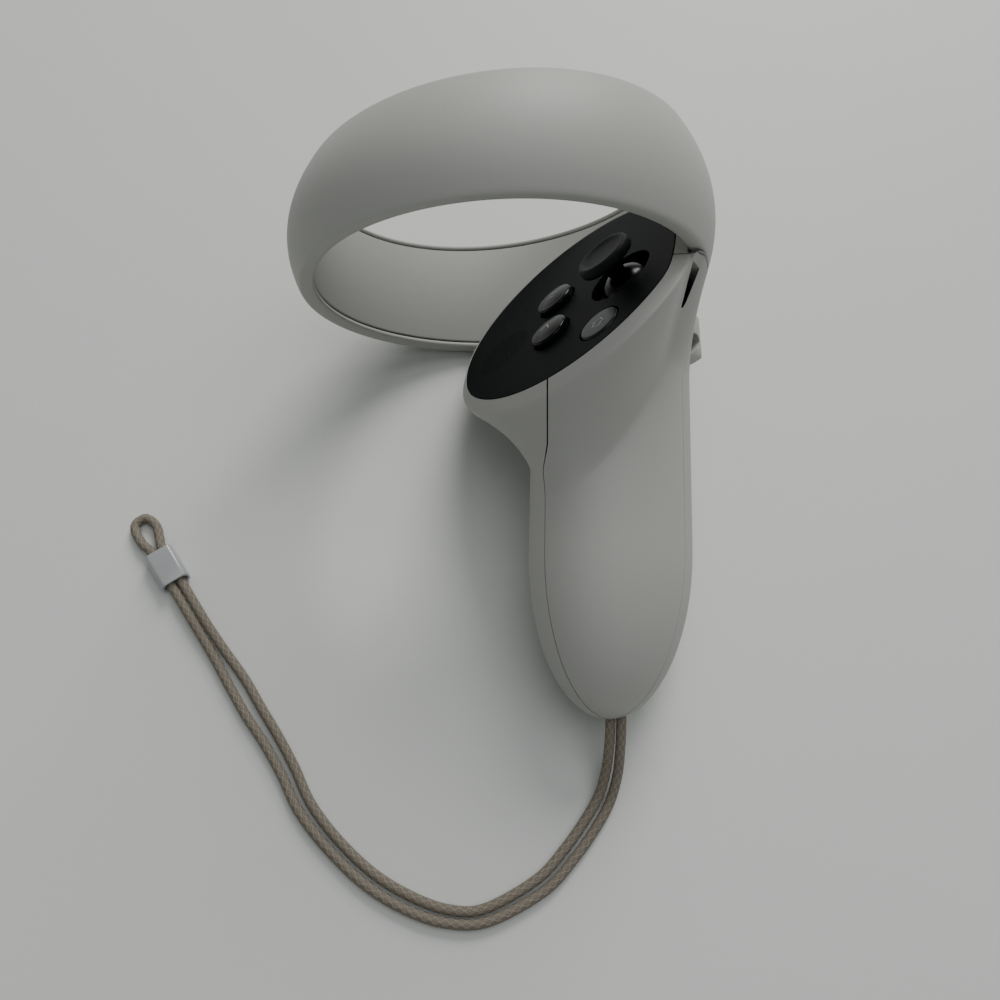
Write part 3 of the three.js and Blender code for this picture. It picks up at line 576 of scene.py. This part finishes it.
def triggerFront(extra, low, high):
    half = trigger["width"] / 2 + extra
    left, right = trigger["x"] - half, trigger["x"] + half
    outline = outlineRect(left, right, trigger["low"] - extra * 4, 12, trigger["tipCorner"] + extra)
    return moved(slab("front", outline, low, high), Matrix.Translation((0, 62, 0)) @ upright)


def triggerOpening():
    opening = triggerFront(trigger["opening"], 0, 26)
    above = slab("above", [(-45, -5), (45, -5), (45, 85), (-45, 85)], -ring["slantNear"] - gap, 40)
    return boolean(opening, above, "DIFFERENCE")


def ringKeepOut():
    low, high = -ring["slantNear"] - gap, ring["height"] + 18
    tube = lathe("keepOut", [(70, low), (70, high)], 128)
    ends = []
    for z in (low - 1, high + 1):
        ends.append((mixed(ring["boreNear"], ring["boreFar"], z / ring["height"]) - gap, z))
    return boolean(tube, lathe("keepBore", ends, 192), "DIFFERENCE")


exitWidth, exitHeight = exitSlot["halfLength"], exitSlot["halfWidth"]
slotOutline = outlineRect(-exitWidth, exitWidth, -exitHeight, exitHeight, exitHeight - 0.01)
slotTurn = Matrix.Rotation(rad(exitSlot["turn"]), 4, "Z")
slotPlace = Matrix.Translation((exitSlot["x"], exitSlot["y"], 0)) @ slotTurn
slotCut = moved(slab("slotCut", slotOutline, -60, -34), gripAxis @ slotPlace)
pocketDepths = (-6, face["thickness"] + 0.15)
pocket = loft("pocket", [[facePoint(a, gap, d) for a in reversed(angles(160))] for d in pocketDepths])

shell = headLoft("shellBody", 0, 192)
boolean(shell, ringKeepOut(), "DIFFERENCE")
boolean(shell, headLoft("hollow", wall, 96), "DIFFERENCE")
boolean(shell, pocket, "DIFFERENCE")
boolean(shell, triggerOpening(), "DIFFERENCE")
boolean(shell, buttonBlock(button["clearance"]), "DIFFERENCE")
boolean(shell, slotCut, "DIFFERENCE")
cover = copyOf(shell)
boolean(cover, coverRegion(gap / 2), "INTERSECT")
boolean(shell, coverRegion(-gap / 2), "DIFFERENCE")
finishPiece(shell, "housing", shellLook, "controller_body", ["main_housing"])
finishPiece(cover, "batteryCover", shellLook, "battery_cover_body", ["battery_cover"])
print("housing and cover made")

keyBody = boolean(buttonBlock(0), headLoft("proud", 0, 96, button["proud"], 8), "INTERSECT")
boolean(keyBody, headLoft("core", 0, 96, -button["under"], 8), "DIFFERENCE")
bevelled(keyBody, 0.5, 50, 3)
finishPiece(keyBody, "gripButton", shellLook, "grip_button_body", ["grip_button"])


def triggerOutline():
    t = trigger
    px, pz, fr, low = t["pivotY"], t["pivotZ"], t["front"], t["low"]
    moves = [
        ((px - 2.1, pz + 1), (px - 1.6, pz + 2.8), (px + 0.6, pz + 3.3)),
        ((fr - 1.4, -1.2), (fr, -1.2), (fr, -3)),
        ((fr, -3), (fr - 0.6, low + 4.2), (fr - 6.8, low + 0.8)),
        ((fr - 6.8, low + 0.8), (fr - 9.2, low), (fr - 10.2, low + 1.4)),
        ((fr - 10.2, low + 1.4), (fr - 5.6, low + 4.6), (fr - 4.8, -7.6)),
        ((fr - 4.8, -7.6), (fr - 5, -5.9), (fr - 7.2, -6.1)),
        ((px + 2.6, pz - 1.2), (px + 1.6, pz - 2.8), (px - 0.4, pz - 2.4)),
        ((px - 0.4, pz - 2.4), (px - 2.5, pz - 1.7), (px - 2.1, pz + 1)),
    ]
    points = []
    for p, q, r in moves:
        for point in bezier(Vector(p), Vector(q), Vector(r), 10):
            if not points or (point - points[-1]).length > 0.02:
                points.append(point)
    if (points[0] - points[-1]).length < 0.02:
        points.pop()
    return [tuple(p) for p in reversed(points)]


half = trigger["width"] / 2
swing = Matrix.Translation((trigger["x"], 0, 0)) @ Matrix.Rotation(math.pi / 2, 4, "Z") @ upright
triggerBody = moved(slab("triggerBody", triggerOutline(), -half, half), swing)
planOutline = outlineRect(
    trigger["x"] - half, trigger["x"] + half, 30, trigger["front"], trigger["corner"], 14
)
boolean(triggerBody, slab("plan", planOutline, -40, 20), "INTERSECT")
boolean(triggerBody, triggerFront(0, 0, 40), "INTERSECT")
bevelled(triggerBody, 0.5, 40, 3)
finishPiece(triggerBody, "triggerKey", shellLook, "trigger_body", ["trigger"])
print("trigger and grip button made")

# ---- face plate, keys and stick
stick = {
    "x": 18.4, "v": 10.6, "hole": 7.7, "pivot": -5.2, "dome": 6.6, "domeLow": 3.3, "shaft": 2, "stem": 1.4,
    "capLow": 9.4, "capHeight": 2.6,
}
keys = {"radius": 4.7, "flange": 5.9, "clearance": 0.35, "edge": 0.55, "stem": 1.6}
keyAt = {"upper": (-2.1, 11.3, 2.2, 0.6), "lower": (4.2, -2.5, 2.2, 0.6), "home": (21, -6.4, 0.35, 0.08)}
keyNode = {"upper": "button_upper", "lower": "button_lower", "home": "home_button"}


def flatCurve(name, loops, thickness, edge):
    data = bpy.data.curves.new(name, "CURVE")
    data.dimensions = "2D"
    data.fill_mode = "BOTH"
    data.extrude = thickness / 2 - edge
    data.bevel_depth = edge
    data.bevel_resolution = 2
    data.offset = -edge
    for loop in loops:
        spline = data.splines.new("POLY")
        spline.points.add(len(loop) - 1)
        for point, (x, y) in zip(spline.points, loop):
            point.co = (x, y, 0, 1)
        spline.use_cyclic_u = True
    return meshOf(data)


plateLoop = []
for a in angles(240):
    r = faceRadius(a)
    plateLoop.append((face["x"] + r * math.cos(a), face["v"] + r * math.sin(a)))
holes = [circle(stick["x"], stick["v"], stick["hole"])]
holes += [circle(x, v, keys["radius"] + keys["clearance"]) for x, v, height, dome in keyAt.values()]
plate = flatCurve("plate", [plateLoop] + holes, face["thickness"], 0.16)
moved(plate, Matrix.Translation((0, 0, -face["thickness"] / 2)))
finishPiece(plate, "facePlate", plateLook, "controller_body", ["face_plate"], facePlane)


def keyShape(name, height, dome):
    low = -face["thickness"] - gap - 1
    r, edge, stem, flange = keys["radius"], keys["edge"], keys["stem"], keys["flange"]
    profile = [
        (0.01, low - 0.2), (stem, low - 0.2), (stem, low), (flange, low), (flange, low + 1), (r, low + 1),
        (r, height - dome - edge),
    ]
    for i in range(1, 7):
        t = rad(15 * i)
        profile.append((r - edge + edge * math.cos(t), height - dome - edge + edge * math.sin(t)))
    for i in range(1, 9):
        s = (r - edge) * (1 - i / 8)
        profile.append((max(0.01, s), height - dome * (s / (r - edge)) ** 2))
    return lathe(name, profile, 96)


def keyTop(name, x, y):
    height, dome = keyAt[name][2:]
    return height - dome * (x * x + y * y) / (keys["radius"] - keys["edge"]) ** 2


marks = {
    "upper": [[(-1.3, 0.7), (1.3, 0.7)], [(-1.3, -0.7), (1.3, -0.7)]],
    "lower": [[(-1.3, -0.7), (0, 0.8), (1.3, -0.7)]],
    "home": [[(-1.5, 0.1), (0, 1.5), (1.5, 0.1)], [(-1, 0.2), (-1, -1.3), (1, -1.3), (1, 0.2)]],
}


stroke = {"radius": 0.14, "sunk": 0.06, "steps": 6}


def strokes(name, lines, key):
    data = bpy.data.curves.new(name, "CURVE")
    data.dimensions = "3D"
    data.bevel_depth = stroke["radius"]
    data.bevel_resolution = 2
    data.use_fill_caps = True
    parts = [i / stroke["steps"] for i in range(stroke["steps"])]
    for line in lines:
        fine = []
        for (ax, ay), (bx, by) in zip(line, line[1:]):
            fine += [(mixed(ax, bx, s), mixed(ay, by, s)) for s in parts]
        fine.append(line[-1])
        spline = data.splines.new("POLY")
        spline.points.add(len(fine) - 1)
        for point, (x, y) in zip(spline.points, fine):
            point.co = (x, y, keyTop(key, x, y) - stroke["sunk"], 1)
    return meshOf(data)


for name, (x, v, height, dome) in keyAt.items():
    place = facePlane @ Matrix.Translation((x, v, 0))
    look = homeLook if name == "home" else keyLook
    body = name + "_button_body"
    finishPiece(keyShape(name, height, dome), name + "Key", look, body, [keyNode[name]], place)
    finishPiece(strokes(name + "Mark", marks[name], name), name + "Mark", markLook, body, (), place)

stickPlace = facePlane @ Matrix.Translation((stick["x"], stick["v"], stick["pivot"]))
domeRim = math.sqrt(stick["dome"] ** 2 - stick["domeLow"] ** 2)
domeProfile = [(0.01, -2.2), (stick["stem"], -2.2), (stick["stem"], stick["domeLow"])]
for i in range(19):
    r = mixed(domeRim, stick["shaft"], i / 18)
    domeProfile.append((r, math.sqrt(stick["dome"] ** 2 - r * r)))
shaftTop = stick["capLow"] + 1.1
domeProfile += [(stick["shaft"], shaftTop), (0.01, shaftTop)]
stickDome = lathe("stickDome", domeProfile)
finishPiece(stickDome, "stickDome", keyLook, "thumbstick_body", ["thumbstick_dome"], stickPlace)
low = stick["capLow"]
top = low + stick["capHeight"]
capProfile = [
    (0.01, shaftTop + gap), (2.3, shaftTop + gap), (2.3, low), (5.8, low), (6.2, low + 0.15),
    (6.45, low + 0.5), (6.5, low + 1.1), (6.45, top - 0.9), (6.25, top - 0.35), (5.95, top - 0.08),
    (5.6, top), (5.3, top - 0.05), (5.0, top - 0.22), (4.6, top - 0.42), (3.8, top - 0.58),
    (2.4, top - 0.7), (1.0, top - 0.75), (0.01, top - 0.76),
]
stickCap = lathe("stickCap", capProfile)
finishPiece(stickCap, "stickCap", rubberLook, "thumbstick_body", ["thumbstick_cap"], stickPlace)
print("face made")

# ---- thumb rest: a disc of fine raised dots, spread by Geometry Nodes
rest = {
    "x": -13, "v": -1.5, "radius": 7.25, "pitch": 0.95, "dot": 0.3, "rise": 0.1, "taper": 0.6, "sunk": 0.04,
}


def dotField(name, look):
    tree = bpy.data.node_groups.new(name, "GeometryNodeTree")
    tree.interface.new_socket("Geometry", in_out="INPUT", socket_type="NodeSocketGeometry")
    tree.interface.new_socket("Geometry", in_out="OUTPUT", socket_type="NodeSocketGeometry")
    sockets = {}
    for label in ("Radius", "Rise"):
        socket = tree.interface.new_socket(label, in_out="INPUT", socket_type="NodeSocketFloat")
        sockets[label] = socket.identifier
    start, end = tree.nodes.new("NodeGroupInput"), tree.nodes.new("NodeGroupOutput")
    dot = tree.nodes.new("GeometryNodeMeshCone")
    dot.inputs["Vertices"].default_value = 8
    spread = tree.nodes.new("GeometryNodeInstanceOnPoints")
    real = tree.nodes.new("GeometryNodeRealizeInstances")
    paint = tree.nodes.new("GeometryNodeSetMaterial")
    paint.inputs["Material"].default_value = look
    taper = tree.nodes.new("ShaderNodeMath")
    taper.operation = "MULTIPLY"
    taper.inputs[1].default_value = rest["taper"]
    join = tree.links.new
    join(start.outputs["Radius"], dot.inputs["Radius Bottom"])
    join(start.outputs["Radius"], taper.inputs[0])
    join(taper.outputs[0], dot.inputs["Radius Top"])
    join(start.outputs["Rise"], dot.inputs["Depth"])
    join(start.outputs["Geometry"], spread.inputs["Points"])
    join(dot.outputs["Mesh"], spread.inputs["Instance"])
    join(spread.outputs["Instances"], real.inputs["Geometry"])
    join(real.outputs["Geometry"], paint.inputs["Geometry"])
    join(paint.outputs["Geometry"], end.inputs["Geometry"])
    return tree, sockets


spots = []
rows = int(rest["radius"] / rest["pitch"]) + 2
for j in range(-rows, rows + 1):
    for i in range(-rows, rows + 1):
        x = (i + 0.5 * (j % 2)) * rest["pitch"]
        y = j * rest["pitch"] * 0.866
        if math.hypot(x, y) < rest["radius"]:
            spots.append((x, y, -rest["sunk"]))
dots = objectFrom("dots", spots, [])
tree, sockets = dotField("dotField", plateLook)
spreader = dots.modifiers.new("dots", "NODES")
spreader.node_group = tree
spreader[sockets["Radius"]] = rest["dot"]
spreader[sockets["Rise"]] = rest["rise"]
evaluated(dots)
restPlace = facePlane @ Matrix.Translation((rest["x"], rest["v"], 0))
finishPiece(dots, "thumbRest", plateLook, "controller_body", (), restPlace)
print("thumb rest made")

# ---- wrist cord: points of the doubled strand in the row frame, in metres
strap = {
    "diameter": 0.00225, "step": 0.0002, "sides": 24, "braid": 0.0011, "relief": 0.00011, "yarns": 5,
    "closer": 0.87, "finePerSpan": 24,
}
middle = [
    (0.02435, -0.0539, 0.0129), (0.02425, -0.060, 0.01175), (0.02415, -0.064, 0.011),
    (0.024, -0.0685, 0.0085), (0.0236, -0.073, 0.0049), (0.0222, -0.0778, 0.0021),
    (0.0193, -0.0826, 0.0015), (0.0144, -0.089, 0.0014), (0.0081, -0.0953, 0.0014),
    (-0.003, -0.101, 0.0014), (-0.0112, -0.1013, 0.0014), (-0.0195, -0.0987, 0.0014),
    (-0.0279, -0.094, 0.0014), (-0.036, -0.087, 0.0014), (-0.0423, -0.0797, 0.0014),
    (-0.0466, -0.072, 0.0014), (-0.0508, -0.0654, 0.0014), (-0.0552, -0.0593, 0.0014),
    (-0.0594, -0.053, 0.0014), (-0.0642, -0.0463, 0.0015), (-0.0686, -0.0402, 0.00195),
    (-0.0709, -0.0369, 0.00215), (-0.0749, -0.0311, 0.00215), (-0.0811, -0.0221, 0.00215),
]
spread = [
    1.35, 1.35, 1.35, 1.4, 1.5, 1.55, 1.6, 1.6, 1.6, 1.5, 1.5, 1.6,
    1.6, 1.6, 1.7, 1.8, 1.9, 2.1, 2.1, 1.6, 1.35, 1.35, 1.35, 1.35,
]
endLoop = [
    (-0.0816, -0.0178, 0.0017), (-0.0829, -0.0148, 0.0014), (-0.0856, -0.013, 0.0014),
    (-0.0878, -0.0152, 0.0014), (-0.0856, -0.0194, 0.0017),
]


def strandPoints():
    pts = [Vector(p) for p in middle]
    sides = []
    for sign in (1, -1):
        side = []
        for i, p in enumerate(pts):
            along = pts[min(i + 1, len(pts) - 1)] - pts[max(i - 1, 0)]
            across = Vector((-along.y, along.x, 0)).normalized()
            side.append(p + across * (sign * spread[i] * strap["closer"] * 0.001))
        sides.append(side)
    return sides[1] + [Vector(p) for p in endLoop] + sides[0][::-1]


# smooth line through the points, laid out again at even steps
def throughPoints(points, step):
    fine = []
    n = len(points)
    parts = strap["finePerSpan"]
    for i in range(n - 1):
        p0, p1, p2, p3 = points[max(i - 1, 0)], points[i], points[i + 1], points[min(i + 2, n - 1)]
        for k in range(parts):
            t = k / parts
            square = (p0 * 2 - p1 * 5 + p2 * 4 - p3) * t * t
            cube = (p1 * 3 - p0 - p2 * 3 + p3) * t ** 3
            fine.append((p1 * 2 + (p2 - p0) * t + square + cube) * 0.5)
    fine.append(points[-1])
    lengths = [0.0]
    for a, b in zip(fine, fine[1:]):
        lengths.append(lengths[-1] + (b - a).length)
    count = int(lengths[-1] / step)
    where = np.linspace(0, lengths[-1], count)
    table = np.array([tuple(p) for p in fine])
    return np.stack([np.interp(where, lengths, table[:, k]) for k in range(3)], 1), lengths[-1]


line, cordLength = throughPoints(strandPoints(), strap["step"])


# round cord with the raised crossings of its braid; their height is kept as a point attribute for painted
# shade that darkens the grooves between the yarns in the colour
def cordMesh(line):
    sides = strap["sides"]
    tangents = np.gradient(line, axis=0)
    tangents /= np.linalg.norm(tangents, axis=1)[:, None]
    points = []
    shades = []
    side = np.cross(tangents[0], [0, 0, 1.0])
    side /= np.linalg.norm(side)
    for i, (p, t) in enumerate(zip(line, tangents)):
        side = side - t * (side @ t)
        side /= np.linalg.norm(side)
        upward = np.cross(t, side)
        s = i * strap["step"] / strap["braid"] * math.pi
        for j in range(sides):
            a = 2 * math.pi * j / sides
            yarn = strap["yarns"] * a
            one = math.cos(yarn + s) ** 2
            two = math.cos(yarn - s) ** 2
            over = math.sin(yarn) * math.sin(s) > 0
            height = one if over else two
            r = strap["diameter"] / 2 - strap["relief"] * (1 - height)
            points.append(tuple(p + side * (r * math.cos(a)) + upward * (r * math.sin(a))))
            shades.append(height)
    n = len(line)
    faces = []
    for i in range(n - 1):
        for j in range(sides):
            k = (j + 1) % sides
            faces.append((i * sides + j, i * sides + k, (i + 1) * sides + k, (i + 1) * sides + j))
    faces.append(tuple(reversed(range(sides))))
    faces.append(tuple((n - 1) * sides + j for j in range(sides)))
    obj = objectFrom("wristCord", points, faces)
    shade = obj.data.attributes.new("braid_groove_shade", "FLOAT", "POINT")
    shade.data.foreach_set("value", np.array(shades, np.float32))
    return obj


def cordMaterial():
    m = surface("cord", (0.30, 0.26, 0.20), 0.85)
    nodes, links = m.node_tree.nodes, m.node_tree.links
    braid_groove_shade = nodes.new("ShaderNodeAttribute")
    braid_groove_shade.attribute_name = "braid_groove_shade"
    dirt = nodes.new("ShaderNodeTexNoise")
    dirt.inputs["Scale"].default_value = 60
    links.new(nodes["Texture Coordinate"].outputs["Object"], dirt.inputs["Vector"])
    tone = nodes.new("ShaderNodeMix")
    tone.data_type = "RGBA"
    tone.inputs["A"].default_value = (0.33, 0.295, 0.235, 1)
    tone.inputs["B"].default_value = (0.24, 0.21, 0.165, 1)
    links.new(dirt.outputs["Fac"], tone.inputs["Factor"])
    mixer = nodes.new("ShaderNodeMix")
    mixer.data_type = "RGBA"
    # painted shade: the braid's low grooves get this dark colour and the raised crossings get the cord tone
    mixer.inputs["A"].default_value = (0.14, 0.12, 0.095, 1)
    links.new(braid_groove_shade.outputs["Fac"], mixer.inputs["Factor"])
    links.new(tone.outputs["Result"], mixer.inputs["B"])
    links.new(mixer.outputs["Result"], nodes["Principled BSDF"].inputs["Base Color"])
    return m


wristCord = cordMesh(line)
wristCord.data.materials.append(cordMaterial())
for p in wristCord.data.polygons:
    p.use_smooth = True
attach(wristCord, "controller_body")
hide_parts("wrist_cord")

# ---- cord slider: a smoky clamp with a slot for the doubled cord
clamp = {"length": 9, "width": 6.8, "height": 4.2, "corner": 1.3, "along": 17.4, "bore": 1.52, "spread": 1.35}
straightFrom, straightTo = 20, 23
alongFrom, alongTo = Vector(middle[straightFrom]), Vector(middle[straightTo])
alongFrom.z = alongTo.z = 0
alongLine = (alongTo - alongFrom).normalized()
clampCentre = (alongFrom + alongLine * clamp["along"] * 0.001) * 1000
clampCentre.z = middle[straightTo][2] * 1000
w, h, bore = clamp["width"] / 2, clamp["height"] / 2, clamp["bore"]
reach = clamp["spread"] + bore
outside = outlineRect(-w, w, -h, h, clamp["corner"])
hole = outlineRect(-reach, reach, -bore, bore, bore - 0.01)
clampBody = flatCurve("clampBody", [outside, hole], clamp["length"], 0.25)
clampTurn = basis(Vector((-alongLine.y, alongLine.x, 0)), Vector((0, 0, 1)), alongLine, clampCentre)
clampPlace = toRow.inverted() @ clampTurn
cordSlider = finishPiece(
    clampBody, "cordSlider", sliderLook, "cord_slider_body", ["cord_slider"], clampPlace
)
print("cord made, length", round(cordLength, 4))

# ---- floor and light
size = 1.6
corners = [(-size, -size, 0), (size, -size, 0), (size, size, 0), (-size, size, 0)]
floor = objectFrom("floor", corners, [(0, 1, 2, 3)])
floorLook = surface("floor", (0.70, 0.715, 0.69), 0.6, grain=0.1, grainScale=600, mottle=0.015)
floor.data.materials.append(floorLook)


def lamp(name, place, target, power, size, colour):
    data = bpy.data.lights.new(name, "AREA")
    data.energy = power
    data.shape = "DISK"
    data.size = size
    data.color = colour
    obj = bpy.data.objects.new(name, data)
    bpy.context.scene.collection.objects.link(obj)
    obj.location = place
    obj.rotation_euler = (Vector(target) - Vector(place)).to_track_quat("-Z", "Y").to_euler()


lamp("mainLight", (0.35, 1.25, 0.95), (0, 0.05, 0), 19, 0.9, (1.0, 0.99, 0.97))
lamp("softLight", (0.3, 0.1, 1.5), (0, 0, 0), 7, 1.5, (0.98, 0.99, 1.0))
world = bpy.data.worlds.new("room")
bpy.context.scene.world = world
world.use_nodes = True
world.node_tree.nodes["Background"].inputs["Color"].default_value = (0.42, 0.44, 0.44, 1)
world.node_tree.nodes["Background"].inputs["Strength"].default_value = 0.45

print("scene made")
